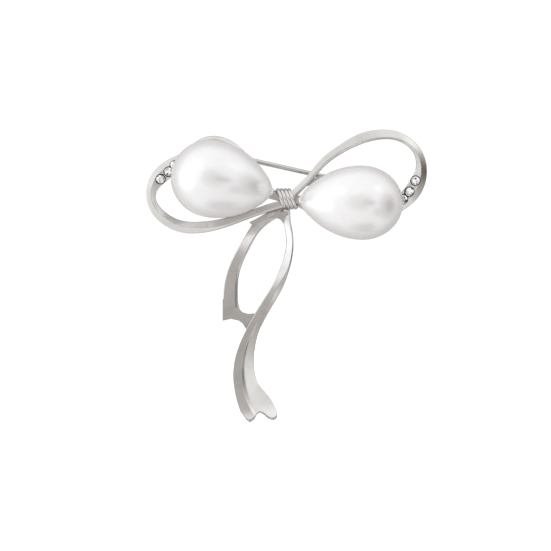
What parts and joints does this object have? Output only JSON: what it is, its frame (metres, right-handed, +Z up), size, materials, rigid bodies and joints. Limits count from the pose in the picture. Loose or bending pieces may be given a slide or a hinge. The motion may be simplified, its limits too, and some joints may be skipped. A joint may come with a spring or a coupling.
{
  "type": "ribbon bow brooch",
  "caption": "Openwork ribbon bow brooch with two pear-shaped imitation pearls, small pavé stones, a hinged pin and a roller safety catch.",
  "frame": {"origin": "middle of the straight part of the pin stem, on its axis", "axes": "+Z up as worn, -Y towards the viewer in front, +X to the viewer's right"},
  "size_m": [0.0481, 0.0138, 0.05],
  "materials": {
    "plated_metal": "satin rhodium plate",
    "pearl": "pearlescent lacquer",
    "crystal": "faceted, foiled back",
    "findings": "plated",
    "pin_wire": "drawn wire"
  },
  "bodies": {
    "brooch": {"knot_core": "plated_metal", "knot_wrap": "plated_metal", "left_loop": "plated_metal", "right_loop": "plated_metal", "left_tail": "plated_metal", "right_tail": "plated_metal", "left_pearl_seat": "plated_metal", "right_pearl_seat": "plated_metal", "left_pearl": "pearl", "right_pearl": "pearl", "left_crystal_1": "crystal", "left_crystal_2": "crystal", "left_crystal_3": "crystal", "right_crystal_1": "crystal", "right_crystal_2": "crystal", "right_crystal_3": "crystal", "hinge_bracket": "findings", "catch_housing": "findings", "hinge_rivet": "findings"},
    "pin": {"pin_stem": "pin_wire"},
    "safety": {"catch_roller": "findings"}
  },
  "joints": [
    {"name": "pin_hinge", "type": "hinge", "parent": "brooch", "child": "pin", "pos_m": [-0.01112, 0, 0.00251], "axis": [0.2198, 0, 0.9755], "range_deg": [0, 95]},
    {"name": "catch_turn", "type": "hinge", "parent": "brooch", "child": "safety", "pos_m": [0.01171, 0, -0.00264], "axis": [0.9755, 0, -0.2198], "range_deg": [0, 95]}
  ]
}
